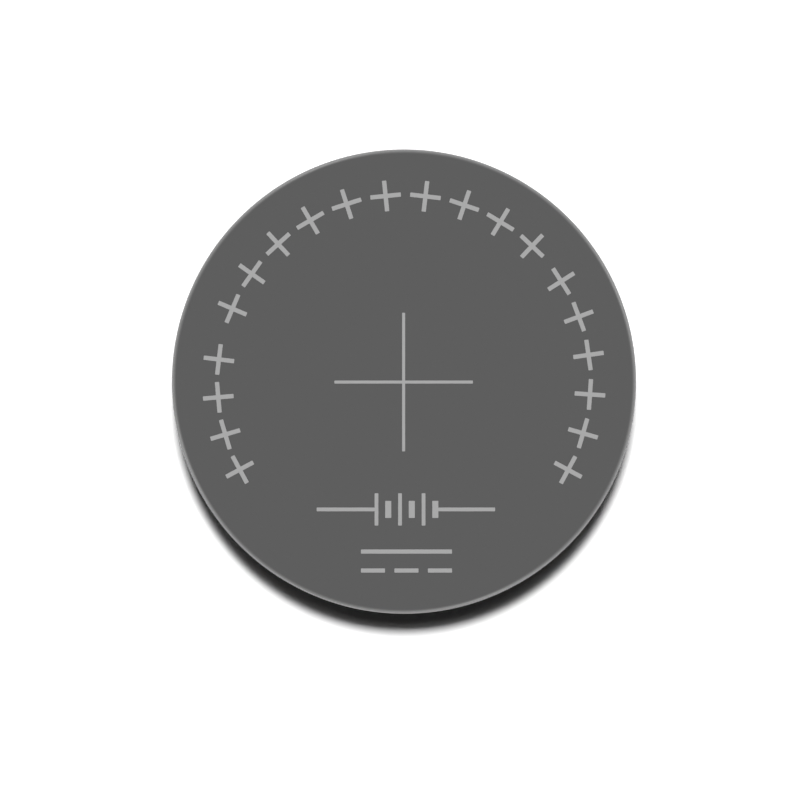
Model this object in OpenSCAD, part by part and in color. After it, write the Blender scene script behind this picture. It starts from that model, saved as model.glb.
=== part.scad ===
// Rechargeable lithium coin cell, in millimetres.
// The cell lies on the face of its negative cap, with the flat face of the positive can on top.
// The origin is the centre of the face it lies on, and +Z points up through the positive face.
// The can is a drawn cup whose rim is curled over a gasket, which grips the skirt of the cap.
// Inside, punched cathodes and anodes are stacked with separators, and a wave spring presses
// the stack against the can.

/* [Cell] */
// Diameter over the positive can
cell_d = 24.5; // [24:0.1:27]
// Height from the negative face to the positive face
cell_h = 5; // [4.8:0.1:6]

/* [Positive can] */
// Sheet thickness of the can
can_t = 0.25; // [0.2:0.01:0.28]
// Outside radius of the edge round the positive face
can_edge_r = 0.3; // [0.2:0.05:0.5]
// Outside radius of the lip that is curled over the gasket
curl_r = 0.9; // [0.8:0.05:1]
// Angle that the lip is curled through from the upright wall
curl_angle = 115; // [95:5:120]
// Height of the lip's lowest point above the negative face
lip_z = 0.25; // [0.15:0.05:0.35]

/* [Negative cap] */
// Sheet thickness of the cap
cap_t = 0.25; // [0.2:0.01:0.3]
// Width of the shoulder, from the wall of the raised terminal out to the skirt
shoulder_w = 1.15; // [1:0.05:2]
// Outside radius of the terminal's edge
terminal_edge_r = 0.5; // [0.3:0.05:0.6]
// Radius of the hollow between the terminal's wall and the shoulder
step_r = 0.4; // [0.1:0.05:0.5]
// Height of the shoulder's underside above the negative face
shoulder_z = 0.95; // [0.85:0.05:1.1]
// Outside radius of the bend from the shoulder up to the skirt
skirt_bend_r = 0.35; // [0.3:0.05:0.5]

/* [Gasket] */
// Thickness between the can's wall and the cap's skirt
gasket_wall_t = 0.45; // [0.35:0.05:0.5]
// Thickness of the foot between the skirt's rim and the can
gasket_foot_t = 0.4; // [0.3:0.05:0.6]
// Thickness of the liner inside the skirt
liner_t = 0.25; // [0.2:0.05:0.35]
// Gap between the liner's end and the inside of the cap's shoulder
liner_gap = 0.3; // [0.1:0.05:1]
// Gap between the gasket and the terminal's wall
bead_gap = 0.05; // [0.02:0.01:0.2]
// Height of the gasket's open face above the lip's lowest point
bead_rise = 0.15; // [0.14:0.01:0.25]

/* [Electrode stack] */
// Number of cathodes, which is also the number of anodes
pairs = 5; // [3:1:6]
// Thickness of one separator
separator_t = 0.04; // [0.02:0.01:0.08]
// Step from a separator's edge in to an anode's edge
anode_inset = 0.2; // [0.1:0.05:0.5]
// Step from an anode's edge in to a cathode's edge
cathode_inset = 0.2; // [0.1:0.05:0.5]
// Thickness of the bare foil that makes an electrode's tongue
foil_t = 0.04; // [0.02:0.01:0.08]

/* [Leads] */
// Thickness of each lead strip
lead_t = 0.1; // [0.05:0.01:0.12]
// Width of each lead strip and of the tongues welded to it
lead_w = 4; // [2:0.5:8]
// Clearance between a lead strip and the gasket's liner
lead_gap = 0.1; // [0.05:0.01:0.2]
// Clearance between a separator's edge and a lead strip
separator_gap = 0.1; // [0.05:0.01:0.2]

/* [Contacts and spring] */
// Thickness of the aluminium disc between the first cathode and the can
contact_t = 0.2; // [0.1:0.05:0.3]
// Thickness of the steel spacer under the last anode
spacer_t = 0.5; // [0.3:0.05:0.6]
// Clearance between the spacer's edge and the inside of the terminal's wall
spacer_gap = 0.2; // [0.1:0.05:1]
// Height of the wave spring as it is pressed between the cap and the spacer
spring_h = 1.44; // [1.2:0.02:1.8]
// Clearance between the spring's edge and the inside of the terminal's wall
spring_gap = 1.65; // [0.6:0.05:3]
// Width of the spring's strip
spring_w = 2.4; // [1:0.1:4]
// Thickness of the spring's strip
spring_t = 0.25; // [0.15:0.01:0.3]
// Number of waves round the spring
spring_waves = 3; // [3:1:5]

/* [Hidden] */
$fn = 96;
// The smallest radius that an inner corner is given
min_corner_r = 0.02;
// The step by which a cutting shape passes the face that it cuts through
cut_over = 1;
// Flat steps round the wave spring
spring_steps = 96;

can_r = cell_d / 2;
can_in_r = can_r - can_t;
can_in_z = cell_h - can_t;
curl_centre_r = can_r - curl_r;
curl_centre_z = lip_z + curl_r;

skirt_r = can_in_r - gasket_wall_t;
skirt_in_r = skirt_r - cap_t;
skirt_top_z = can_in_z - gasket_foot_t;
terminal_r = skirt_r - shoulder_w;
shoulder_in_z = shoulder_z + cap_t;
step_fillet_r = min(step_r, shoulder_z - terminal_edge_r);

liner_in_r = skirt_in_r - liner_t;
liner_z = shoulder_in_z + liner_gap;
bead_z = lip_z + bead_rise;
bead_in_r = terminal_r + bead_gap;

lead_r = liner_in_r - lead_gap;
lead_in_r = lead_r - lead_t;
separator_r = lead_in_r - separator_gap;
anode_r = separator_r - anode_inset;
cathode_r = anode_r - cathode_inset;
spacer_r = terminal_r - cap_t - spacer_gap;
lead_angle = lead_w / lead_r * 180 / PI;

// The electrodes share the height that the contacts, the spring and the separators leave
spacer_z = cap_t + spring_h;
stack_bottom_z = spacer_z + spacer_t;
stack_top_z = can_in_z - contact_t;
electrodes = 2 * pairs;
separators = electrodes - 1;
electrode_t = (stack_top_z - stack_bottom_z - separators * separator_t) / electrodes;
layer_step = 2 * (electrode_t + separator_t);

spring_r = terminal_r - cap_t - spring_gap;
spring_in_r = spring_r - spring_w;
spring_mid_z = cap_t + spring_h / 2;
spring_swing = (spring_h - spring_t) / 2;

// Height of the top of cathode i, counted from the can downwards
function cathode_top_z(i) = stack_top_z - (i - 1) * layer_step;

// Height of the top of anode i
function anode_top_z(i) = cathode_top_z(i) - electrode_t - separator_t;

// Height of the top of separator i, which lies under a cathode where i is odd
function separator_top_z(i) =
    i % 2 == 1
        ? cathode_top_z((i + 1) / 2) - electrode_t
        : anode_top_z(i / 2) - electrode_t;

// Height of the spring's middle surface at an angle round it
function spring_z(angle) = spring_mid_z + spring_swing * cos(spring_waves * angle);

// Half section from the axis to a radius, between two heights, with its upper edge rounded
module round_topped(r, z_low, z_high, edge_r) {
    translate([0, z_low]) square([r, z_high - z_low - edge_r]);
    translate([0, z_low]) square([r - edge_r, z_high - z_low]);
    translate([r - edge_r, z_high - edge_r]) circle(edge_r);
}

// The same with its lower edge rounded
module round_bottomed(r, z_low, z_high, edge_r) {
    translate([0, z_low + edge_r]) square([r, z_high - z_low - edge_r]);
    translate([0, z_low]) square([r - edge_r, z_high - z_low]);
    translate([r - edge_r, z_low + edge_r]) circle(edge_r);
}

// Half section of the curled lip, from the foot of the wall to the lip's end
module curl_section() {
    reach = 2 * curl_r;
    translate([curl_centre_r, curl_centre_z])
        intersection() {
            difference() {
                circle(curl_r);
                circle(curl_r - can_t);
            }
            polygon([[0, 0], [reach, 0], [reach, -reach], [reach / tan(curl_angle), -reach]]);
        }
}

// Half section of the whole can
module can_section() {
    difference() {
        round_topped(can_r, curl_centre_z, cell_h, can_edge_r);
        round_topped(can_in_r, curl_centre_z - cut_over, can_in_z,
                     max(can_edge_r - can_t, min_corner_r));
    }
    curl_section();
}

// Half section of everything inside the cap's outer surface, drawn in by inset
module cap_envelope(inset, z_high) {
    hollow_r = terminal_r + step_fillet_r;
    hollow_z = shoulder_z - step_fillet_r;
    round_bottomed(terminal_r - inset, inset, z_high,
                   max(terminal_edge_r - inset, min_corner_r));
    round_bottomed(skirt_r - inset, shoulder_z + inset, z_high,
                   max(skirt_bend_r - inset, min_corner_r));
    difference() {
        translate([terminal_r - inset, hollow_z])
            square(step_fillet_r + inset);
        translate([hollow_r, hollow_z]) circle(step_fillet_r + inset);
    }
}

// Half section of the space that the gasket is pressed into, out to the middle of the can's sheet
module gasket_space() {
    mid_t = can_t / 2;
    round_topped(can_r - mid_t, curl_centre_z, cell_h - mid_t,
                 max(can_edge_r - mid_t, min_corner_r));
    translate([curl_centre_r, curl_centre_z]) circle(curl_r - mid_t);
    translate([bead_in_r, bead_z])
        square([curl_centre_r - bead_in_r, curl_centre_z - bead_z]);
}

module positive_can() {
    color("#5e5e5e")
        rotate_extrude()
            can_section();
}

module negative_cap() {
    color("#9b9c9d")
        rotate_extrude()
            difference() {
                cap_envelope(0, skirt_top_z);
                cap_envelope(cap_t, skirt_top_z + cut_over);
            }
}

module sealing_gasket() {
    color("#c9ccc6")
        rotate_extrude() {
            difference() {
                gasket_space();
                can_section();
                cap_envelope(0, skirt_top_z);
                translate([0, shoulder_z]) square([liner_in_r, cell_h]);
                square([bead_in_r, shoulder_z]);
            }
            translate([liner_in_r, liner_z])
                square([liner_t, skirt_top_z - liner_z]);
        }
}

// A piece of ring lead_w long, centred on +X, with its half section as children
module lead_arc() {
    rotate([0, 0, -lead_angle / 2])
        rotate_extrude(angle = lead_angle)
            children();
}

// The bare tongue of an electrode, from inside its coated edge out to the lead strip
module tongue(edge_r, mid_z) {
    lead_arc()
        translate([edge_r - lead_t, mid_z - foil_t / 2])
            square([lead_in_r - edge_r + lead_t, foil_t]);
}

module cathode(i) {
    low_z = cathode_top_z(i) - electrode_t;
    color("#2a2a2c") {
        translate([0, 0, low_z]) cylinder(r = cathode_r, h = electrode_t);
        rotate([0, 0, 90]) tongue(cathode_r, low_z + electrode_t / 2);
    }
}

module anode(i) {
    low_z = anode_top_z(i) - electrode_t;
    color("#3b3b3e") {
        translate([0, 0, low_z]) cylinder(r = anode_r, h = electrode_t);
        rotate([0, 0, -90]) tongue(anode_r, low_z + electrode_t / 2);
    }
}

module separator(i) {
    color("#eeeee8")
        translate([0, 0, separator_top_z(i) - separator_t])
            cylinder(r = separator_r, h = separator_t);
}

module cathode_contact_disc() {
    color("#c3c6ca")
        translate([0, 0, stack_top_z])
            cylinder(r = cathode_r, h = contact_t);
}

// The aluminium strip that joins every cathode's tongue to the contact disc
module cathode_lead() {
    low_z = cathode_top_z(pairs) - electrode_t;
    color("#c3c6ca")
        rotate([0, 0, 90])
            lead_arc() {
                translate([lead_in_r, low_z]) square([lead_t, can_in_z - low_z]);
                translate([cathode_r, can_in_z - lead_t])
                    square([lead_r - cathode_r, lead_t]);
            }
}

// The nickel strip that joins every anode's tongue to the spacer
module anode_lead() {
    foot_z = spacer_z + (spacer_t - lead_t) / 2;
    color("#b4b0a6")
        rotate([0, 0, -90])
            lead_arc() {
                translate([lead_in_r, foot_z]) square([lead_t, anode_top_z(1) - foot_z]);
                translate([spacer_r, foot_z]) square([lead_r - spacer_r, lead_t]);
            }
}

module spacer_plate() {
    color("#a2a4a7")
        translate([0, 0, spacer_z])
            cylinder(r = spacer_r, h = spacer_t);
}

// A flat ring pressed into waves, whose crests touch the spacer and whose troughs touch the cap
module wave_spring() {
    corners = [
        [spring_in_r, -spring_t / 2],
        [spring_r, -spring_t / 2],
        [spring_r, spring_t / 2],
        [spring_in_r, spring_t / 2]
    ];
    sides = len(corners);
    turn = 360 / spring_steps;
    points = [
        for (k = [0 : spring_steps - 1])
            for (c = corners)
                [c[0] * cos(k * turn), c[0] * sin(k * turn), spring_z(k * turn) + c[1]]
    ];
    faces = [
        for (k = [0 : spring_steps - 1])
            for (s = [0 : sides - 1])
                let (
                    here = k * sides,
                    there = (k + 1) % spring_steps * sides,
                    next = (s + 1) % sides
                )
                each [
                    [here + s, here + next, there + next],
                    [here + s, there + next, there + s]
                ]
    ];
    color("#a2a4a7") polyhedron(points, faces);
}

positive_can();
sealing_gasket();
negative_cap();
cathode_contact_disc();
cathode_lead();
anode_lead();
spacer_plate();
wave_spring();
for (i = [1 : pairs]) {
    cathode(i);
    anode(i);
}
for (i = [1 : separators])
    separator(i);
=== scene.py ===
"""Looks of a rechargeable lithium coin cell that lies on its negative cap, with the marked face up.

The can, the cap and the gasket are drawn again as fine spun shells of the same half sections, and
the wave spring as a finer strip. The electrode stack, the leads and the spacer keep their own
meshes and get their finishes.
All sizes are in metres, and Z is the cell's axis.
"""

from __future__ import annotations

import logging
import math
from dataclasses import dataclass, field
from enum import Enum

import bmesh
import bpy
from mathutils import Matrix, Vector


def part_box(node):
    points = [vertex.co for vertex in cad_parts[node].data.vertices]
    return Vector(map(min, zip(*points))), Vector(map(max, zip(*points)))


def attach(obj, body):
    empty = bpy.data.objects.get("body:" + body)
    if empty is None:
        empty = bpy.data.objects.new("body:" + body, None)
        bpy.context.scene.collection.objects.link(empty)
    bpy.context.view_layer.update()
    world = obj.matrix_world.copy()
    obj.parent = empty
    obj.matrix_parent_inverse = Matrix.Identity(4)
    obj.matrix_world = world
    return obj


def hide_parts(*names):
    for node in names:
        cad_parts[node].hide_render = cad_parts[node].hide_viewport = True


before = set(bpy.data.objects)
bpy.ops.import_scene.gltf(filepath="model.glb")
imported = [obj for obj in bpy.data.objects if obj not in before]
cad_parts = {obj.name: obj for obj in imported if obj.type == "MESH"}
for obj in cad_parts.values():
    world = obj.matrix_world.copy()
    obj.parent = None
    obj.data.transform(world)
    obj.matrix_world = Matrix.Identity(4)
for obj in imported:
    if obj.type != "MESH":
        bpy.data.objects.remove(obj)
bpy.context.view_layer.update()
BODY = "root"

MM = 0.001
FULL_TURN = 2 * math.pi
# Points of a mesh that are nearer than this are one point
WELD = 0.001 * MM
# Faces that meet at more than this many degrees keep a sharp edge
SHARP_ANGLE = 30.0
# How many finer layers a grain has, and how strong each is beside the one before
NOISE_DETAIL = 3.0
NOISE_ROUGHNESS = 0.6
# Numbers of a Mix node's sockets, because those for values and for colours share their names
MIX_SHARE = 0
MIX_VALUE_A = 2
MIX_VALUE_B = 3
MIX_COLOR_A = 6
MIX_COLOR_B = 7
MIX_VALUE_OUT = 0
MIX_COLOR_OUT = 2

log = logging.getLogger("coin_cell")


class Slot(Enum):
    """The record's material slots."""

    CAN = "can_steel"
    GASKET = "gasket_plastic"
    CAP = "cap_steel"
    SPRING = "spring_steel"


class Grain(Enum):
    """Which way a surface's fine lines run, as the stretch of its pattern along X, Y and Z.

    For rings about the axis, the pattern's X is the radius.
    """

    EVEN = (1.0, 1.0, 1.0)
    ALONG_X = (0.04, 1.0, 1.0)
    ALONG_Z = (1.0, 1.0, 0.04)
    IN_RINGS = (1.0, 0.0, 0.9)


def linear(hex_code: str) -> tuple[float, float, float, float]:
    """Turns an sRGB colour into the linear colour that shaders take.

    Args:
        hex_code: The colour, such as "#5e5e5e".

    Returns:
        The linear red, green and blue, and an alpha of 1.
    """
    shares = [int(hex_code[i:i + 2], 16) / 255 for i in (1, 3, 5)]
    red, green, blue = (s / 12.92 if s <= 0.04045 else ((s + 0.055) / 1.055) ** 2.4 for s in shares)
    return red, green, blue, 1.0


def add_node(
    tree: bpy.types.NodeTree,
    kind: str,
    settings: dict | None = None,
    links: dict | None = None,
) -> bpy.types.Node:
    """Adds a node with its settings and the links into it.

    Args:
        tree: The material's or the world's node tree.
        kind: The node's type.
        settings: Values by input socket, as its name or number, or by the node's own setting.
        links: The output socket that feeds each input socket.

    Returns:
        The new node.
    """
    node = tree.nodes.new(kind)
    for name, value in (settings or {}).items():
        if isinstance(name, int) or name in node.inputs:
            node.inputs[name].default_value = value
        else:
            setattr(node, name, value)
    for name, source in (links or {}).items():
        tree.links.new(source, node.inputs[name])
    return node


@dataclass(frozen=True)
class Finish:
    """What every finish has. Each kind of surface draws its own pattern over it.

    One grain of the pattern is grain_mm wide and relief_mm deep. The colour varies with it by the
    share grain_color, and the roughness by grain_rough.
    """

    title: str
    color: str
    metallic: float
    roughness: float
    grain_mm: float
    grain_color: float = 0.04
    grain_rough: float = 0.06
    relief_mm: float = 0.0005

    def material(self) -> bpy.types.Material:
        """Builds the node material, unless it was built before.

        Returns:
            The material.
        """
        if self.title in bpy.data.materials:
            return bpy.data.materials[self.title]
        material = bpy.data.materials.new(self.title)
        material.use_nodes = True
        tree = material.node_tree
        shader = tree.nodes["Principled BSDF"]
        shader.inputs["Metallic"].default_value = self.metallic
        place = add_node(tree, "ShaderNodeTexCoord").outputs["Object"]
        self.draw(tree, shader, place)
        return material

    def draw(self, tree: bpy.types.NodeTree, shader: bpy.types.Node, place: bpy.types.NodeSocket) -> None:
        """Draws an even grain, for a surface with no direction.

        Args:
            tree: The material's node tree.
            shader: Its Principled shader.
            place: The socket that gives the place on the object, in metres.
        """
        grain = self.noise(tree, place, self.grain_mm, Grain.EVEN)
        self.paint(tree, shader, grain, self.shade(tree, grain, self.color))

    def radius(self, tree: bpy.types.NodeTree, place: bpy.types.NodeSocket) -> bpy.types.NodeSocket:
        """Adds the distance from the cell's axis.

        Args:
            tree: The material's node tree.
            place: The place on the object.

        Returns:
            The distance, in metres.
        """
        flat = add_node(
            tree, "ShaderNodeVectorMath", {"operation": "MULTIPLY", 1: (1.0, 1.0, 0.0)}, {0: place},
        ).outputs["Vector"]
        return add_node(tree, "ShaderNodeVectorMath", {"operation": "LENGTH"}, {0: flat}).outputs["Value"]

    def noise(
        self, tree: bpy.types.NodeTree, place: bpy.types.NodeSocket, size_mm: float, grain: Grain
    ) -> bpy.types.NodeSocket:
        """Adds a noise whose grains are size_mm wide, drawn out along the grain's direction.

        Args:
            tree: The material's node tree.
            place: The place on the object.
            size_mm: How wide one grain is.
            grain: Which way the grains are drawn out.

        Returns:
            The noise's value, from 0 to 1.
        """
        stretch = tuple(share / (size_mm * MM) for share in grain.value)
        if grain is Grain.IN_RINGS:
            height = add_node(tree, "ShaderNodeSeparateXYZ", links={"Vector": place}).outputs["Z"]
            place = add_node(
                tree, "ShaderNodeCombineXYZ", links={"X": self.radius(tree, place), "Z": height},
            ).outputs["Vector"]
        mapping = add_node(tree, "ShaderNodeMapping", {"Scale": stretch}, {"Vector": place})
        noise = add_node(
            tree, "ShaderNodeTexNoise",
            {"Scale": 1.0, "Detail": NOISE_DETAIL, "Roughness": NOISE_ROUGHNESS},
            {"Vector": mapping.outputs["Vector"]},
        )
        return noise.outputs["Fac"]

    def shade(
        self,
        tree: bpy.types.NodeTree,
        grain: bpy.types.NodeSocket,
        hex_code: str,
        share: float | None = None,
    ) -> bpy.types.NodeSocket:
        """Varies a colour a little with the grain, lighter and darker about the colour itself.

        Args:
            tree: The material's node tree.
            grain: The grain's value, from 0 to 1.
            hex_code: The colour.
            share: How far it varies, where that isn't the finish's own grain_color.

        Returns:
            The varied colour.
        """
        red, green, blue, alpha = linear(hex_code)
        share = self.grain_color if share is None else share
        dark, light = 1 - share, 1 + share
        mix = add_node(
            tree, "ShaderNodeMix",
            {"data_type": "RGBA",
             MIX_COLOR_A: (red * dark, green * dark, blue * dark, alpha),
             MIX_COLOR_B: (red * light, green * light, blue * light, alpha)},
            {MIX_SHARE: grain},
        )
        return mix.outputs[MIX_COLOR_OUT]

    def paint(
        self,
        tree: bpy.types.NodeTree,
        shader: bpy.types.Node,
        grain: bpy.types.NodeSocket,
        color: bpy.types.NodeSocket,
        level: bpy.types.NodeSocket | None = None,
    ) -> None:
        """Feeds the shader its colour, and its roughness and relief from the grain.

        Args:
            tree: The material's node tree.
            shader: Its Principled shader.
            grain: The grain's value, from 0 to 1.
            color: The surface's colour.
            level: Its mean roughness, where that isn't the finish's own all over.
        """
        rough = add_node(
            tree, "ShaderNodeMapRange",
            {"To Min": self.roughness - self.grain_rough, "To Max": self.roughness + self.grain_rough},
            {"Value": grain},
        )
        if level is not None:
            low, high = (
                add_node(tree, "ShaderNodeMath", {"operation": "ADD", 1: step}, {0: level})
                for step in (-self.grain_rough, self.grain_rough)
            )
            tree.links.new(low.outputs["Value"], rough.inputs["To Min"])
            tree.links.new(high.outputs["Value"], rough.inputs["To Max"])
        relief = add_node(
            tree, "ShaderNodeBump", {"Strength": 1.0, "Distance": self.relief_mm * MM}, {"Height": grain},
        )
        tree.links.new(color, shader.inputs["Base Color"])
        tree.links.new(rough.outputs["Result"], shader.inputs["Roughness"])
        tree.links.new(relief.outputs["Normal"], shader.inputs["Normal"])


@dataclass(frozen=True)
class DrawnCanSteel(Finish):
    """Deep-drawn stainless steel: a dark satin face, and a wall with fine draw lines, painted paler as a
    highlight.

    The edge round the face takes the wall's paler colour, a painted highlight that shows as a thin pale
    line.
    Heights count down from the face: its colour turns into the wall's from face_drop to edge_drop,
    and its satin into polish from polish_drop down over polish_fade. One draw line is line_mm wide.
    """

    # The wall's paler colour, which the face's edge takes too, is a painted highlight
    wall_highlight_color: str = "#848484"
    wall_roughness: float = 0.24
    wall_grain_color: float = 0.16
    face_drop: float = 0.007 * MM
    edge_drop: float = 0.07 * MM
    polish_drop: float = 0.3 * MM
    polish_fade: float = 0.06 * MM
    line_mm: float = 0.12

    def draw(self, tree: bpy.types.NodeTree, shader: bpy.types.Node, place: bpy.types.NodeSocket) -> None:
        """Draws the satin face, and the draw lines on all that lies below it.

        Args:
            tree: The material's node tree.
            shader: Its Principled shader.
            place: The place on the object.
        """
        top_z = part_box("positive_can")[1].z
        height = add_node(tree, "ShaderNodeSeparateXYZ", links={"Vector": place}).outputs["Z"]
        on_face = add_node(
            tree, "ShaderNodeMapRange",
            {"From Min": top_z - self.edge_drop, "From Max": top_z - self.face_drop},
            {"Value": height},
        ).outputs["Result"]
        satin = self.noise(tree, place, self.grain_mm, Grain.EVEN)
        lines = self.noise(tree, place, self.line_mm, Grain.ALONG_Z)
        grain = add_node(
            tree, "ShaderNodeMix", {"data_type": "FLOAT"},
            {MIX_SHARE: on_face, MIX_VALUE_A: lines, MIX_VALUE_B: satin},
        ).outputs[MIX_VALUE_OUT]
        # The face's dark colour turns into the wall's paler one at its edge: a painted highlight on the
        # rounded edge and on the wall
        color = add_node(
            tree, "ShaderNodeMix", {"data_type": "RGBA"},
            {MIX_SHARE: on_face,
             MIX_COLOR_A: self.shade(tree, grain, self.wall_highlight_color, self.wall_grain_color),
             MIX_COLOR_B: self.shade(tree, grain, self.color)},
        ).outputs[MIX_COLOR_OUT]
        level = add_node(
            tree, "ShaderNodeMapRange",
            {"From Min": top_z - self.polish_drop - self.polish_fade,
             "From Max": top_z - self.polish_drop,
             "To Min": self.wall_roughness, "To Max": self.roughness},
            {"Value": height},
        ).outputs["Result"]
        self.paint(tree, shader, grain, color, level)


@dataclass(frozen=True)
class RolledMetal(Finish):
    """Sheet or strip metal with the fine lines that the rolls leave along its direction.

    The rolls' lines are about 0.02 mm wide on real sheet, and are drawn at 0.05 mm or more, so that
    they show.
    """

    direction: Grain = Grain.ALONG_X

    def draw(self, tree: bpy.types.NodeTree, shader: bpy.types.Node, place: bpy.types.NodeSocket) -> None:
        """Draws the rolling lines along their direction."""
        grain = self.noise(tree, place, self.grain_mm, self.direction)
        self.paint(tree, shader, grain, self.shade(tree, grain, self.color))


@dataclass(frozen=True)
class CoatedFoil(Finish):
    """Metal foil coated with a matt powder all over its disc, and bare on the tongue beyond it.

    The disc's radius is that of the CAD node disc_node, and the coating reaches just past it.
    """

    foil_color: str = "#c3c6ca"
    foil_roughness: float = 0.3
    disc_node: str = "cathode_1"
    coat_past: float = 0.02 * MM

    def draw(self, tree: bpy.types.NodeTree, shader: bpy.types.Node, place: bpy.types.NodeSocket) -> None:
        """Draws the powder's grain, and the bare metal of the tongue.

        Args:
            tree: The material's node tree.
            shader: Its Principled shader.
            place: The place on the object.
        """
        coated_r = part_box(self.disc_node)[1].x + self.coat_past
        bare = add_node(
            tree, "ShaderNodeMath", {"operation": "GREATER_THAN", 1: coated_r},
            {0: self.radius(tree, place)},
        ).outputs["Value"]
        grain = self.noise(tree, place, self.grain_mm, Grain.EVEN)
        color = add_node(
            tree, "ShaderNodeMix", {"data_type": "RGBA", MIX_COLOR_B: linear(self.foil_color)},
            {MIX_SHARE: bare, MIX_COLOR_A: self.shade(tree, grain, self.color)},
        ).outputs[MIX_COLOR_OUT]
        level = add_node(
            tree, "ShaderNodeMapRange", {"To Min": self.roughness, "To Max": self.foil_roughness},
            {"Value": bare},
        ).outputs["Result"]
        self.paint(tree, shader, grain, color, level)
        tree.links.new(bare, shader.inputs["Metallic"])


@dataclass(frozen=True)
class MouldedPolypropylene(Finish):
    """Natural polypropylene, injection moulded: milky, smooth and a little see-through at its edges."""

    ior: float = 1.49
    scatter: float = 0.25
    scatter_mm: float = 0.4

    def draw(self, tree: bpy.types.NodeTree, shader: bpy.types.Node, place: bpy.types.NodeSocket) -> None:
        """Draws the mould's faint texture, and lets some light into the plastic.

        Args:
            tree: The material's node tree.
            shader: Its Principled shader.
            place: The place on the object.
        """
        shader.inputs["IOR"].default_value = self.ior
        shader.inputs["Subsurface Weight"].default_value = self.scatter
        shader.inputs["Subsurface Radius"].default_value = (1.0, 1.0, 1.0)
        shader.inputs["Subsurface Scale"].default_value = self.scatter_mm * MM
        super().draw(tree, shader, place)


# The satin grain keeps the face an even dark grey with a soft sheen, and the draw lines make the
# polished wall read as metal. Both are about five times as coarse as on real sheet, so that they show.
CAN_STEEL = DrawnCanSteel(
    "drawn_stainless_steel", "#5f5f5f", metallic=1.0, roughness=0.42, grain_mm=0.15, grain_color=0.035,
    relief_mm=0.002,
)
# The cap is left as the press makes it, so it is paler and shinier than the face, with no direction.
# Its grain is as coarse beside the real one as the can's.
CAP_STEEL = Finish(
    "pressed_stainless_steel", "#9c9c9c", metallic=1.0, roughness=0.32, grain_mm=0.12, relief_mm=0.001,
)
# Natural polypropylene lets light in at its edges, so the ring looks milky and soft beside the
# steel. The grain is the faint texture of a spark-eroded mould.
GASKET_PLASTIC = MouldedPolypropylene(
    "moulded_polypropylene", "#c9ccc6", metallic=0.0, roughness=0.45, grain_mm=0.3, grain_color=0.02,
)
# The laser frosts the steel, so the marks are pale and matt beside the satin face. One grain is as
# wide as the laser's spot.
MARK = Finish(
    "laser_frosted_steel", "#adadad", metallic=0.6, roughness=0.6, grain_mm=0.05, grain_color=0.06,
)
# Soft sheet with lines along the rolling, which gives the disc and its lead a cool bright sheen.
ALUMINIUM = RolledMetal(
    "rolled_aluminium", "#c3c6ca", metallic=1.0, roughness=0.3, grain_mm=0.06, grain_color=0.08,
)
# Bright strip, a little warmer than the aluminium, with lines that run up the lead.
NICKEL = RolledMetal(
    "rolled_nickel_strip", "#b4b0a6", metallic=1.0, roughness=0.28, grain_mm=0.05, grain_color=0.08,
    direction=Grain.ALONG_Z,
)
# Plain blanked sheet, duller than the spring that lies against it.
SPACER_STEEL = RolledMetal(
    "blanked_stainless_steel", "#a2a4a7", metallic=1.0, roughness=0.35, grain_mm=0.08,
)
# Hard strip rolled on edge, so its sharp highlights follow the ring.
SPRING_STEEL = RolledMetal(
    "rolled_spring_steel", "#a2a4a7", metallic=1.0, roughness=0.22, grain_mm=0.06, grain_color=0.08,
    direction=Grain.IN_RINGS,
)
# Pressed oxide powder scatters light evenly: a matt black with a fine tooth, and bright bare foil.
# Its grains of about 0.01 mm are drawn at 0.06 mm, so that they show.
CATHODE_COATING = CoatedFoil(
    "oxide_coated_aluminium_foil", "#2a2a2c", metallic=0.0, roughness=0.85, grain_mm=0.06,
    grain_color=0.2,
)
# Graphite flakes lie flat under the press, so this coating is greyer and shines a little. The flakes
# of about 0.015 mm are drawn at 0.05 mm, so that they show.
ANODE_COATING = CoatedFoil(
    "graphite_coated_copper_foil", "#3b3b3e", metallic=0.0, roughness=0.65, grain_mm=0.05,
    grain_color=0.2, foil_color="#b87a52", disc_node="anode_1",
)
# Pores finer than the light's waves make the film a dense matt white. They can't show, so the grain
# of 0.04 mm stands for the film's faint cloudiness.
SEPARATOR_FILM = Finish(
    "porous_polyolefin_film", "#eeeee8", metallic=0.0, roughness=0.8, grain_mm=0.04, grain_color=0.02,
)


def deselect_all() -> None:
    """Goes to object mode with nothing selected, because an operator acts on all that is selected."""
    if bpy.context.mode != "OBJECT":
        bpy.ops.object.mode_set(mode="OBJECT")
    bpy.ops.object.select_all(action="DESELECT")


def settle(piece: bpy.types.Object, name: str) -> bpy.types.Object:
    """Names a new piece and puts its place into its mesh, so that its object sits at the origin.

    Args:
        piece: The new primitive, or a copy of a piece.
        name: Its name.

    Returns:
        The piece.
    """
    deselect_all()
    piece.name = name
    piece.data.name = name
    piece.select_set(True)
    bpy.context.view_layer.objects.active = piece
    bpy.ops.object.transform_apply(location=True, rotation=True, scale=True)
    return piece


def join(pieces: list[bpy.types.Object], name: str) -> bpy.types.Object:
    """Joins pieces into one.

    Args:
        pieces: The pieces, the first of which takes the others in.
        name: The joined piece's name.

    Returns:
        The joined piece.
    """
    deselect_all()
    for piece in pieces:
        piece.select_set(True)
    bpy.context.view_layer.objects.active = pieces[0]
    bpy.ops.object.join()
    return settle(pieces[0], name)


def dress(piece: bpy.types.Object, finish: Finish) -> None:
    """Gives every material slot of a piece its finish.

    Args:
        piece: A new piece or a CAD node.
        finish: The finish.
    """
    if not piece.material_slots:
        piece.data.materials.append(None)
    for slot in piece.material_slots:
        slot.material = finish.material()


def report(piece: bpy.types.Object) -> None:
    """Logs a piece's name, size and finish.

    Args:
        piece: A new piece or a CAD node.
    """
    size = ", ".join(f"{side / MM:.2f}" for side in piece.dimensions)
    log.info("%s: %s mm, %d faces, %s", piece.name, size, len(piece.data.polygons),
             piece.material_slots[0].material.name)


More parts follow.
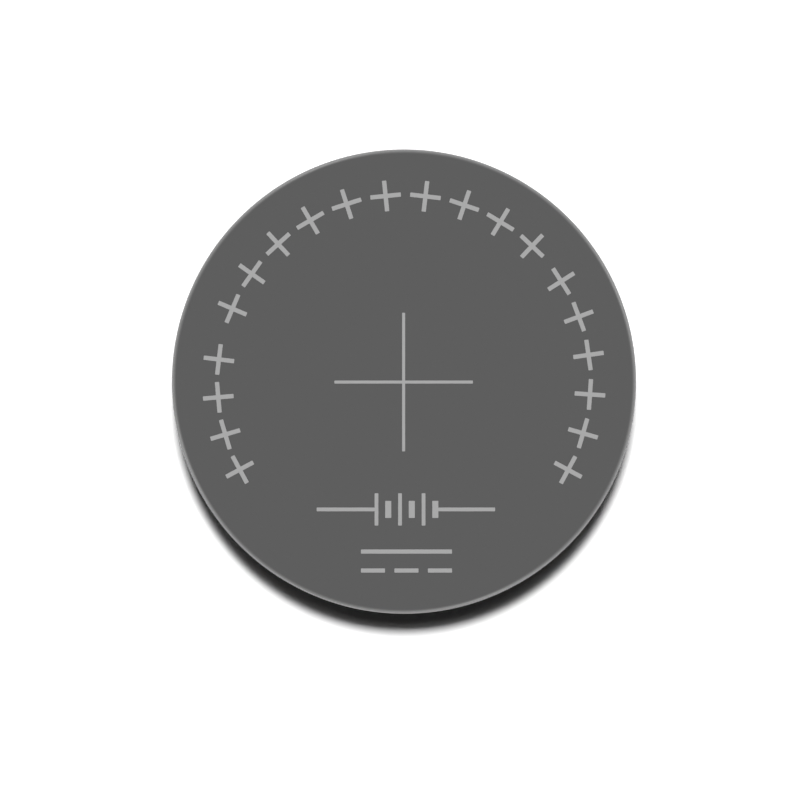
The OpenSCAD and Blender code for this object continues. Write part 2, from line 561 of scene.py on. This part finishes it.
def close_shell() -> None:
    """Merges the doubles of the piece in edit mode, turns its faces outwards and smooths it."""
    bpy.ops.mesh.select_all(action="SELECT")
    bpy.ops.mesh.remove_doubles(threshold=WELD)
    bpy.ops.mesh.normals_make_consistent(inside=False)
    bpy.ops.object.mode_set(mode="OBJECT")
    bpy.ops.object.shade_smooth_by_angle(angle=math.radians(SHARP_ANGLE))


def stand_for(piece: bpy.types.Object, node: str, finish: Finish) -> bpy.types.Object:
    """Dresses a new piece and lets it stand for a CAD node, which is hidden.

    Args:
        piece: The new piece.
        node: The CAD node's name.
        finish: The piece's finish.

    Returns:
        The piece.
    """
    dress(piece, finish)
    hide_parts(node)
    return piece


@dataclass
class HalfSection:
    """A line in the plane of radius and height, drawn point by point and spun into a shell.

    Straight stretches are cut at least every flat_step and ring_gap before each end, and arcs at
    least every arc_step degrees.
    """

    ring_gap: float = 0.02 * MM
    flat_step: float = 2.0 * MM
    arc_step: float = 7.5
    steps_round: int = 256
    points: list[tuple[float, float]] = field(default_factory=list)

    def line(self, radius: float, height: float) -> HalfSection:
        """Draws a straight line, with a ring close to each end so that the flat shades flat.

        Args:
            radius: The radius that it ends at.
            height: The height that it ends at.

        Returns:
            This half section.
        """
        if self.points:
            start = Vector(self.points[-1])
            way = Vector((radius, height)) - start
            inner = way.length - 2 * self.ring_gap
            if inner > self.ring_gap:
                count = max(1, math.ceil(inner / self.flat_step))
                for i in range(count + 1):
                    reach = self.ring_gap + inner * i / count
                    self.points.append(tuple(start + way.normalized() * reach))
        self.points.append((radius, height))
        return self

    def arc(self, centre: tuple[float, float], radius: float, start: float, end: float) -> HalfSection:
        """Draws an arc, and a line to its start where the last point isn't there yet.

        Args:
            centre: The radius and height of its centre.
            radius: Its own radius.
            start: The angle that it starts at, in degrees from outwards towards up.
            end: The angle that it ends at.

        Returns:
            This half section.
        """
        count = max(2, math.ceil(abs(end - start) / self.arc_step))
        for i in range(count + 1):
            angle = math.radians(start + (end - start) * i / count)
            point = (centre[0] + radius * math.cos(angle), centre[1] + radius * math.sin(angle))
            if i:
                self.points.append(point)
            elif not self.points or (Vector(point) - Vector(self.points[-1])).length > WELD:
                self.line(*point)
        return self

    def spin(self, name: str) -> bpy.types.Object:
        """Draws the line as edges in edit mode and spins it round the axis into a closed shell.

        Args:
            name: The piece's name.

        Returns:
            The shell, smooth apart from its sharp edges.
        """
        deselect_all()
        radius, height = self.points[0]
        bpy.ops.mesh.primitive_plane_add(size=self.ring_gap, location=(radius, 0.0, height))
        piece = settle(bpy.context.active_object, name)
        bpy.ops.object.mode_set(mode="EDIT")
        bpy.ops.mesh.select_all(action="SELECT")
        bpy.ops.mesh.merge(type="CENTER")
        for next_radius, next_height in self.points[1:]:
            step = (next_radius - radius, 0.0, next_height - height)
            bpy.ops.mesh.extrude_region_move(TRANSFORM_OT_translate={"value": step})
            radius, height = next_radius, next_height
        bpy.ops.mesh.select_all(action="SELECT")
        bpy.ops.mesh.spin(
            steps=self.steps_round, angle=FULL_TURN, center=(0.0, 0.0, 0.0), axis=(0.0, 0.0, 1.0),
        )
        close_shell()
        return piece


@dataclass
class PositiveCan:
    """The drawn cup whose flat face is the positive terminal, with its rim curled over the gasket."""

    radius: float
    top_z: float
    lip_z: float
    sheet: float = 0.25 * MM
    edge_r: float = 0.3 * MM
    curl_r: float = 0.9 * MM
    curl_angle: float = 115.0

    @classmethod
    def from_frame(cls) -> PositiveCan:
        """Takes the outer sizes from the CAD node's box."""
        low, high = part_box("positive_can")
        return cls(radius=high.x, top_z=high.z, lip_z=low.z)

    @property
    def inner_r(self) -> float:
        """Radius of the inside of the wall."""
        return self.radius - self.sheet

    @property
    def ceiling_z(self) -> float:
        """Height of the inside of the face."""
        return self.top_z - self.sheet

    @property
    def inner_edge_r(self) -> float:
        """Radius of the edge inside the face."""
        return self.edge_r - self.sheet

    @property
    def curl_centre(self) -> tuple[float, float]:
        """Centre of the lip's curl, as radius and height."""
        return self.radius - self.curl_r, self.lip_z + self.curl_r

    def build(self) -> bpy.types.Object:
        """Spins the can.

        Returns:
            The can.
        """
        edge = (self.radius - self.edge_r, self.top_z - self.edge_r)
        inner_edge = (self.inner_r - self.inner_edge_r, self.ceiling_z - self.inner_edge_r)
        section = HalfSection()
        section.line(0.0, self.top_z)
        section.arc(edge, self.edge_r, 90, 0)
        section.arc(self.curl_centre, self.curl_r, 0, -self.curl_angle)
        section.arc(self.curl_centre, self.curl_r - self.sheet, -self.curl_angle, 0)
        section.arc(inner_edge, self.inner_edge_r, 0, 90)
        section.line(0.0, self.ceiling_z)
        return stand_for(section.spin("can_shell"), "positive_can", CAN_STEEL)


@dataclass
class NegativeCap:
    """The stepped cap whose raised flat face is the negative terminal, with a skirt inside the can."""

    radius: float
    rim_z: float
    bottom_z: float
    sheet: float = 0.25 * MM
    shoulder_w: float = 1.15 * MM
    terminal_edge_r: float = 0.5 * MM
    step_r: float = 0.4 * MM
    shoulder_z: float = 0.95 * MM
    bend_r: float = 0.35 * MM

    @classmethod
    def from_frame(cls) -> NegativeCap:
        """Takes the outer sizes from the CAD node's box."""
        low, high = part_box("negative_cap")
        return cls(radius=high.x, rim_z=high.z, bottom_z=low.z)

    @property
    def terminal_r(self) -> float:
        """Radius of the raised terminal's wall."""
        return self.radius - self.shoulder_w

    @property
    def step_centre(self) -> tuple[float, float]:
        """Centre of the hollow between the terminal's wall and the shoulder."""
        return self.terminal_r + self.step_r, self.shoulder_z - self.step_r

    @property
    def bend_centre(self) -> tuple[float, float]:
        """Centre of the bend from the shoulder up to the skirt."""
        return self.radius - self.bend_r, self.shoulder_z + self.bend_r

    def build(self) -> bpy.types.Object:
        """Spins the cap.

        Returns:
            The cap.
        """
        edge = (self.terminal_r - self.terminal_edge_r, self.bottom_z + self.terminal_edge_r)
        section = HalfSection()
        section.line(0.0, self.bottom_z)
        section.arc(edge, self.terminal_edge_r, -90, 0)
        section.arc(self.step_centre, self.step_r, 180, 90)
        section.arc(self.bend_centre, self.bend_r, -90, 0)
        section.line(self.radius, self.rim_z)
        section.line(self.radius - self.sheet, self.rim_z)
        section.arc(self.bend_centre, self.bend_r - self.sheet, 0, -90)
        section.arc(self.step_centre, self.step_r + self.sheet, 90, 180)
        section.arc(edge, self.terminal_edge_r - self.sheet, 0, -90)
        section.line(0.0, self.bottom_z + self.sheet)
        return stand_for(section.spin("cap_shell"), "negative_cap", CAP_STEEL)


@dataclass
class SealingGasket:
    """The moulded ring that the curled lip presses round the cap's skirt."""

    can: PositiveCan
    cap: NegativeCap
    open_z: float
    liner_t: float = 0.25 * MM
    liner_gap: float = 0.3 * MM
    terminal_gap: float = 0.05 * MM

    @classmethod
    def from_frame(cls, can: PositiveCan, cap: NegativeCap) -> SealingGasket:
        """Takes the height of its open face from the CAD node's box, and the rest from can and cap."""
        low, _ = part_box("sealing_gasket")
        return cls(can=can, cap=cap, open_z=low.z)

    def build(self) -> bpy.types.Object:
        """Spins the gasket.

        Returns:
            The gasket.
        """
        can, cap = self.can, self.cap
        liner_r = cap.radius - cap.sheet - self.liner_t
        liner_z = cap.shoulder_z + cap.sheet + self.liner_gap
        bore_r = cap.terminal_r + self.terminal_gap
        bore_angle = math.degrees(math.acos((bore_r - cap.step_centre[0]) / cap.step_r))
        lip_end = math.radians(-can.curl_angle)
        lip_reach = (self.open_z - can.curl_centre[1]) / math.sin(lip_end)
        inner_edge = (can.inner_r - can.inner_edge_r, can.ceiling_z - can.inner_edge_r)
        section = HalfSection()
        section.line(liner_r, can.ceiling_z)
        section.arc(inner_edge, can.inner_edge_r, 90, 0)
        section.arc(can.curl_centre, can.curl_r - can.sheet, 0, -can.curl_angle)
        section.line(can.curl_centre[0] + lip_reach * math.cos(lip_end), self.open_z)
        section.line(bore_r, self.open_z)
        section.arc(cap.step_centre, cap.step_r, bore_angle, 90)
        section.arc(cap.bend_centre, cap.bend_r, -90, 0)
        section.line(cap.radius, cap.rim_z)
        section.line(cap.radius - cap.sheet, cap.rim_z)
        section.line(cap.radius - cap.sheet, liner_z)
        section.line(liner_r, liner_z)
        section.line(liner_r, can.ceiling_z)
        return stand_for(section.spin("gasket_ring"), "sealing_gasket", GASKET_PLASTIC)


@dataclass
class WaveSpring:
    """The waved strip that presses the stack up from the inside of the cap."""

    radius: float
    low_z: float
    high_z: float
    strip_w: float = 2.4 * MM
    strip_t: float = 0.25 * MM
    waves: int = 3
    steps: int = 192

    @classmethod
    def from_frame(cls) -> WaveSpring:
        """Takes the outer sizes from the CAD node's box."""
        low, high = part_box("wave_spring")
        return cls(radius=high.x, low_z=low.z, high_z=high.z)

    def middle_z(self, angle: float) -> float:
        """Returns the height of the strip's middle at an angle round the axis, in radians."""
        swing = (self.high_z - self.low_z - self.strip_t) / 2
        return (self.low_z + self.high_z) / 2 + swing * math.cos(self.waves * angle)

    def build(self) -> bpy.types.Object:
        """Extrudes the strip's outline step by step round the axis, up and down the waves.

        Returns:
            The spring.
        """
        deselect_all()
        bpy.ops.mesh.primitive_plane_add(
            size=1.0, location=(self.radius - self.strip_w / 2, 0.0, self.middle_z(0.0)),
            rotation=(math.pi / 2, 0.0, 0.0),
        )
        piece = bpy.context.active_object
        piece.scale = (self.strip_w, self.strip_t, 1.0)
        settle(piece, "spring_strip")
        bpy.ops.object.mode_set(mode="EDIT")
        bpy.ops.mesh.select_all(action="SELECT")
        bpy.ops.mesh.delete(type="ONLY_FACE")
        bpy.ops.mesh.select_all(action="SELECT")
        turn = FULL_TURN / self.steps
        for i in range(self.steps):
            rise = self.middle_z((i + 1) * turn) - self.middle_z(i * turn)
            bpy.ops.mesh.extrude_region_move(TRANSFORM_OT_translate={"value": (0.0, 0.0, rise)})
            bpy.ops.transform.rotate(value=turn, orient_axis="Z", center_override=(0.0, 0.0, 0.0))
        close_shell()
        return stand_for(piece, "wave_spring", SPRING_STEEL)


@dataclass(frozen=True)
class MarkGroup:
    """A run of small plus signs along the face's edge, between two angles from +X in degrees."""

    first: float
    last: float
    count: int

    def angles(self) -> list[float]:
        """Lists the angle of each sign's middle."""
        pitch = (self.last - self.first) / (self.count - 1)
        return [self.first + pitch * i for i in range(self.count)]


@dataclass
class FaceMarks:
    """The plus of the positive terminal, small plus signs round it and two signs below it.

    Each mark is a thin film that stands proud of the face by a hundredth of a millimetre.
    Angles are in degrees from +X, and a centre is a place on the face in X and Y.
    """

    face_z: float
    film: float = 0.012 * MM
    sunk: float = 0.002 * MM
    corner_r: float = 0.03 * MM
    corner_steps: int = 3
    facing: float = 0.9

    plus_centre: tuple[float, float] = (-0.02 * MM, -0.03 * MM)
    plus_span: float = 7.3 * MM
    plus_line: float = 0.16 * MM

    arc_r: float = 9.82 * MM
    arc_span: float = 1.62 * MM
    arc_line: float = 0.23 * MM
    arc_groups: tuple[MarkGroup, ...] = (
        MarkGroup(208.2, 173.2, 4), MarkGroup(157.0, 46.6, 10), MarkGroup(32.5, -28.3, 6),
    )

    cell_sign_centre: tuple[float, float] = (0.1 * MM, -6.74 * MM)
    cell_sign_w: float = 9.4 * MM
    cell_sign_h: float = 1.7 * MM
    cell_sign_cells: int = 3
    plate_gap: float = 0.62 * MM
    plate_line: float = 0.2 * MM
    short_plate_line: float = 0.32 * MM
    short_plate_h: float = 0.9 * MM

    current_sign_centre: tuple[float, float] = (0.13 * MM, -9.46 * MM)
    current_sign_w: float = 4.8 * MM
    current_sign_gap: float = 1.0 * MM
    current_line: float = 0.22 * MM
    current_dashes: int = 3
    dash_share: float = 0.72

    def bar(self, centre: tuple[float, float], size: tuple[float, float]) -> bpy.types.Object:
        """Makes one straight stroke with rounded corners.

        Args:
            centre: Its centre on the face, in X and Y.
            size: Its size along X and Y.

        Returns:
            The stroke.
        """
        deselect_all()
        middle_z = self.face_z - self.sunk + self.film / 2
        bpy.ops.mesh.primitive_cube_add(
            size=1.0, location=(*centre, middle_z), scale=(*size, self.film),
        )
        stroke = settle(bpy.context.active_object, "stroke")
        self.round_corners(stroke)
        return stroke

    def plus(self, centre: tuple[float, float], span: float, line: float) -> bpy.types.Object:
        """Makes a plus by drawing the four sides of a small block out to its arms' ends.

        Args:
            centre: Its centre on the face, in X and Y.
            span: Its size over both arms.
            line: How wide its lines are.

        Returns:
            The plus.
        """
        deselect_all()
        middle_z = self.face_z - self.sunk + self.film / 2
        bpy.ops.mesh.primitive_cube_add(
            size=1.0, location=(*centre, middle_z), scale=(line, line, self.film),
        )
        sign = settle(bpy.context.active_object, "plus")
        for side in (Vector((1, 0, 0)), Vector((0, 1, 0)), Vector((-1, 0, 0)), Vector((0, -1, 0))):
            bpy.ops.object.mode_set(mode="EDIT")
            bpy.ops.mesh.select_mode(type="FACE")
            mesh = bmesh.from_edit_mesh(sign.data)
            for face in mesh.faces:
                offset = face.calc_center_median() - Vector((*centre, middle_z)) - side * line / 2
                face.select_set(face.normal.dot(side) > self.facing and offset.length < line / 4)
            bmesh.update_edit_mesh(sign.data)
            arm = side * (span - line) / 2
            bpy.ops.mesh.extrude_region_move(TRANSFORM_OT_translate={"value": tuple(arm)})
            bpy.ops.object.mode_set(mode="OBJECT")
        self.round_corners(sign)
        return sign

    def round_corners(self, sign: bpy.types.Object) -> None:
        """Rounds the upright edges at a mark's outer corners.

        Args:
            sign: The mark.
        """
        bpy.ops.object.mode_set(mode="EDIT")
        bpy.ops.mesh.select_mode(type="EDGE")
        mesh = bmesh.from_edit_mesh(sign.data)
        for edge in mesh.edges:
            upright = abs(edge.verts[0].co.z - edge.verts[1].co.z) > self.film / 2
            edge.select_set(upright and edge.is_convex)
        bmesh.update_edit_mesh(sign.data)
        bpy.ops.mesh.bevel(
            offset=self.corner_r, offset_type="OFFSET", segments=self.corner_steps, affect="EDGES",
        )
        bpy.ops.object.mode_set(mode="OBJECT")

    def plus_mark(self) -> bpy.types.Object:
        """Makes the large thin plus at the middle of the face."""
        return settle(self.plus(self.plus_centre, self.plus_span, self.plus_line), "plus_mark")

    def arc_marks(self) -> bpy.types.Object:
        """Makes one small plus at the top of the arc, and copies it round to each place.

        Returns:
            All the small plus signs, joined.
        """
        first = self.plus((0.0, self.arc_r), self.arc_span, self.arc_line)
        signs = []
        for group in self.arc_groups:
            for angle in group.angles():
                sign = first.copy()
                sign.data = first.data.copy()
                bpy.context.collection.objects.link(sign)
                sign.rotation_euler = (0.0, 0.0, math.radians(angle - 90))
                signs.append(settle(sign, "small_plus"))
        bpy.data.objects.remove(first)
        return join(signs, "arc_of_plus_signs")

    def cell_sign(self) -> bpy.types.Object:
        """Makes the circuit sign of a battery: long and short plates between two leads.

        Returns:
            The sign.
        """
        x, y = self.cell_sign_centre
        plates = 2 * self.cell_sign_cells
        first_x = -(plates - 1) / 2 * self.plate_gap
        strokes = []
        for i in range(plates):
            size = (
                (self.plate_line, self.cell_sign_h) if i % 2 == 0
                else (self.short_plate_line, self.short_plate_h)
            )
            strokes.append(self.bar((x + first_x + i * self.plate_gap, y), size))
        for side, plate in ((-1, self.plate_line), (1, self.short_plate_line)):
            lead_w = self.cell_sign_w / 2 + first_x - plate / 2
            lead_x = (self.cell_sign_w - lead_w) / 2
            strokes.append(self.bar((x + side * lead_x, y), (lead_w, self.plate_line)))
        return join(strokes, "battery_sign")

    def current_sign(self) -> bpy.types.Object:
        """Makes the sign of direct current: a line over a row of dashes.

        Returns:
            The sign.
        """
        x, y = self.current_sign_centre
        rise = self.current_sign_gap / 2
        strokes = [self.bar((x, y + rise), (self.current_sign_w, self.current_line))]
        pitch = self.current_sign_w / (self.current_dashes - 1 + self.dash_share)
        for i in range(self.current_dashes):
            dash_x = x + (i - (self.current_dashes - 1) / 2) * pitch
            strokes.append(self.bar((dash_x, y - rise), (pitch * self.dash_share, self.current_line)))
        return join(strokes, "direct_current_sign")

    def build(self) -> list[bpy.types.Object]:
        """Makes and dresses every mark.

        Returns:
            The marks.
        """
        marks = [self.plus_mark(), self.arc_marks(), self.cell_sign(), self.current_sign()]
        for mark in marks:
            dress(mark, MARK)
        return marks


@dataclass
class ElectrodeStack:
    """The punched electrodes and separators, with the leads, the disc and the spacer that join them."""

    finishes: tuple[tuple[str, Finish], ...] = (
        ("cathode_contact_disc", ALUMINIUM),
        ("cathode_lead", ALUMINIUM),
        ("anode_lead", NICKEL),
        ("spacer_plate", SPACER_STEEL),
        ("cathode_", CATHODE_COATING),
        ("anode_", ANODE_COATING),
        ("separator_", SEPARATOR_FILM),
    )

    def dress(self) -> list[bpy.types.Object]:
        """Gives each inner CAD node its finish, by the start of its name.

        Returns:
            The nodes.
        """
        dressed = []
        for name, node in sorted(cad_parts.items()):
            finish = next((f for start, f in self.finishes if name.startswith(start)), None)
            if finish:
                dress(node, finish)
                dressed.append(node)
        return dressed


@dataclass
class Studio:
    """The white floor, the camera that looks straight down and the lamps.

    The floor and the world are white where they are seen, straight or in metal, and dim where they
    only pass light on, which keeps the shadow dark. Angles are in degrees.
    """

    # Height and diameter of the disc's widest outline
    outline_z: float
    disc_d: float

    # The picture's side, and the disc's diameter and centre in it, in pixels
    picture_px: float = 800.0
    disc_px: float = 464.4
    disc_centre_px: tuple[float, float] = (404.0, 381.5)

    # The focal length and the sensor's width, in millimetres, and what the camera sees between
    lens: float = 200.0
    sensor: float = 36.0
    clip: tuple[float, float] = (0.01, 10.0)

    # The floor's reflectance where it is seen, and where it lights the cell
    floor_size: float = 2.0
    floor_seen: float = 1.3
    floor_bounce: float = 0.35

    # Bright cards for the metal to mirror, as bright as card_glow times white
    card_count: int = 4
    card_turn: float = 22.5
    card_glow: float = 2.0
    card_distance: float = 0.35
    card_elevation: float = 18.0
    card_size: tuple[float, float] = (0.06, 0.2)

    # The key lamp, at which a matt white floor renders at key_level, its wide twin with a share of
    # its light that softens the shadow's edge, and the world's fill
    key_level: float = 0.98
    key_elevation: float = 76.5
    key_distance: float = 0.5
    key_size: float = 0.056
    soft_share: float = 0.14
    soft_size: float = 0.12
    world_fill: float = 0.004

    def build(self) -> None:
        """Sets up the camera, the floor, the lamps and the world."""
        scene = bpy.context.scene
        scene.view_settings.view_transform = "Standard"
        scene.camera = self.camera()
        self.floor()
        self.key()
        self.cards()
        self.world(scene)

    def key(self) -> None:
        """Makes the key lamp and its twin at the top of the picture, which give the cell its shadow."""
        y = math.cos(math.radians(self.key_elevation))
        z = math.sin(math.radians(self.key_elevation))
        # An area lamp's watts spread over pi squared times its distance squared on a matt white floor
        watts = self.key_level * math.pi ** 2 * self.key_distance ** 2 / z
        for name, size, share in (
            ("key", self.key_size, 1 - self.soft_share),
            ("soft_key", self.soft_size, self.soft_share),
        ):
            lamp = self.lamp(name, Vector((0, y, z)) * self.key_distance, (size, size))
            lamp.data.energy = share * watts
            lamp.visible_glossy = False

    def cards(self) -> None:
        """Makes the cards round the cell, turned away from the eighths of a turn.

        From opposite a card the whole satin face mirrors it, and the marks on it pale.
        """
        flat = math.cos(math.radians(self.card_elevation))
        rise = math.sin(math.radians(self.card_elevation))
        for i in range(self.card_count):
            angle = math.radians(self.card_turn) + FULL_TURN * i / self.card_count
            way = Vector((math.cos(angle) * flat, math.sin(angle) * flat, rise))
            card = self.lamp(f"card_{i + 1}", way * self.card_distance, self.card_size)
            # A card's glow is its watts over pi times its area
            card.data.energy = self.card_glow * math.pi * self.card_size[0] * self.card_size[1]
            card.visible_diffuse = False

    def camera(self) -> bpy.types.Object:
        """Makes the camera over the place that puts the disc where the photograph has it.

        Returns:
            The camera.
        """
        metres_per_px = self.disc_d / self.disc_px
        height = self.picture_px * metres_per_px * self.lens / self.sensor
        x = -(self.disc_centre_px[0] - self.picture_px / 2) * metres_per_px
        y = (self.disc_centre_px[1] - self.picture_px / 2) * metres_per_px
        bpy.ops.object.camera_add(location=(x, y, self.outline_z + height), rotation=(0.0, 0.0, 0.0))
        camera = bpy.context.active_object
        camera.name = "camera"
        camera.data.lens = self.lens
        camera.data.sensor_width = self.sensor
        camera.data.clip_start, camera.data.clip_end = self.clip
        return camera

    def lamp(self, name: str, place: Vector, size: tuple[float, float]) -> bpy.types.Object:
        """Makes an area lamp that faces the cell.

        Args:
            name: Its name.
            place: Where it stands.
            size: Its width and height.

        Returns:
            The lamp.
        """
        bpy.ops.object.light_add(type="AREA", location=place)
        lamp = bpy.context.active_object
        lamp.name = name
        lamp.rotation_euler = (-place).to_track_quat("-Z", "Y").to_euler()
        lamp.data.shape = "RECTANGLE"
        lamp.data.size, lamp.data.size_y = size
        return lamp

    def seen_mask(self, tree: bpy.types.NodeTree) -> bpy.types.NodeSocket:
        """Adds a value that is 1 for what the camera sees, straight or in metal and glass, and else 0.

        Light that a matt surface has scattered on its way doesn't count, or bright metal would
        light up the shadow beside it.

        Args:
            tree: The node tree of the floor's material or the world.

        Returns:
            The value.
        """
        path = add_node(tree, "ShaderNodeLightPath")
        direct = add_node(
            tree, "ShaderNodeMath", {"operation": "LESS_THAN", 1: 0.5}, {0: path.outputs["Diffuse Depth"]},
        )
        glossy = add_node(
            tree, "ShaderNodeMath", {"operation": "MAXIMUM"},
            {0: path.outputs["Is Camera Ray"], 1: path.outputs["Is Glossy Ray"]},
        )
        seen = add_node(
            tree, "ShaderNodeMath", {"operation": "MAXIMUM"},
            {0: glossy.outputs["Value"], 1: path.outputs["Is Transmission Ray"]},
        )
        both = add_node(
            tree, "ShaderNodeMath", {"operation": "MULTIPLY"},
            {0: seen.outputs["Value"], 1: direct.outputs["Value"]},
        )
        return both.outputs["Value"]

    def floor(self) -> bpy.types.Object:
        """Makes the white floor, which keeps the cell's shadow.

        Returns:
            The floor.
        """
        bpy.ops.mesh.primitive_plane_add(size=self.floor_size, location=(0.0, 0.0, 0.0))
        floor = bpy.context.active_object
        floor.name = "floor"
        material = bpy.data.materials.new("white_floor")
        material.use_nodes = True
        tree = material.node_tree
        tree.nodes.remove(tree.nodes["Principled BSDF"])
        level = add_node(
            tree, "ShaderNodeMapRange", {"To Min": self.floor_bounce, "To Max": self.floor_seen},
            {"Value": self.seen_mask(tree)},
        )
        shader = add_node(tree, "ShaderNodeBsdfDiffuse", links={"Color": level.outputs["Result"]})
        tree.links.new(shader.outputs["BSDF"], tree.nodes["Material Output"].inputs["Surface"])
        floor.data.materials.append(material)
        return floor

    def world(self, scene: bpy.types.Scene) -> None:
        """Makes the world white where it is seen, and a soft fill where it lights.

        Args:
            scene: The scene that gets the world.
        """
        world = bpy.data.worlds.new("studio")
        world.use_nodes = True
        tree = world.node_tree
        strength = add_node(
            tree, "ShaderNodeMapRange", {"To Min": self.world_fill, "To Max": 1.0},
            {"Value": self.seen_mask(tree)},
        )
        background = tree.nodes["Background"]
        background.inputs["Color"].default_value = (1.0, 1.0, 1.0, 1.0)
        tree.links.new(strength.outputs["Result"], background.inputs["Strength"])
        scene.world = world


def main() -> None:
    """Builds the cell's pieces in order, dresses them and lights them."""
    logging.basicConfig(level=logging.INFO, format="%(name)s: %(message)s")
    can = PositiveCan.from_frame()
    cap = NegativeCap.from_frame()
    gasket = SealingGasket.from_frame(can, cap)
    Studio(outline_z=can.top_z - can.edge_r, disc_d=2 * can.radius).build()
    spring = WaveSpring.from_frame()
    pieces = [can.build(), cap.build(), gasket.build(), spring.build()]
    pieces += FaceMarks(face_z=can.top_z).build()
    for piece in pieces:
        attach(piece, BODY)
        report(piece)
    for node in ElectrodeStack().dress():
        report(node)


if __name__ == "__main__":
    main()
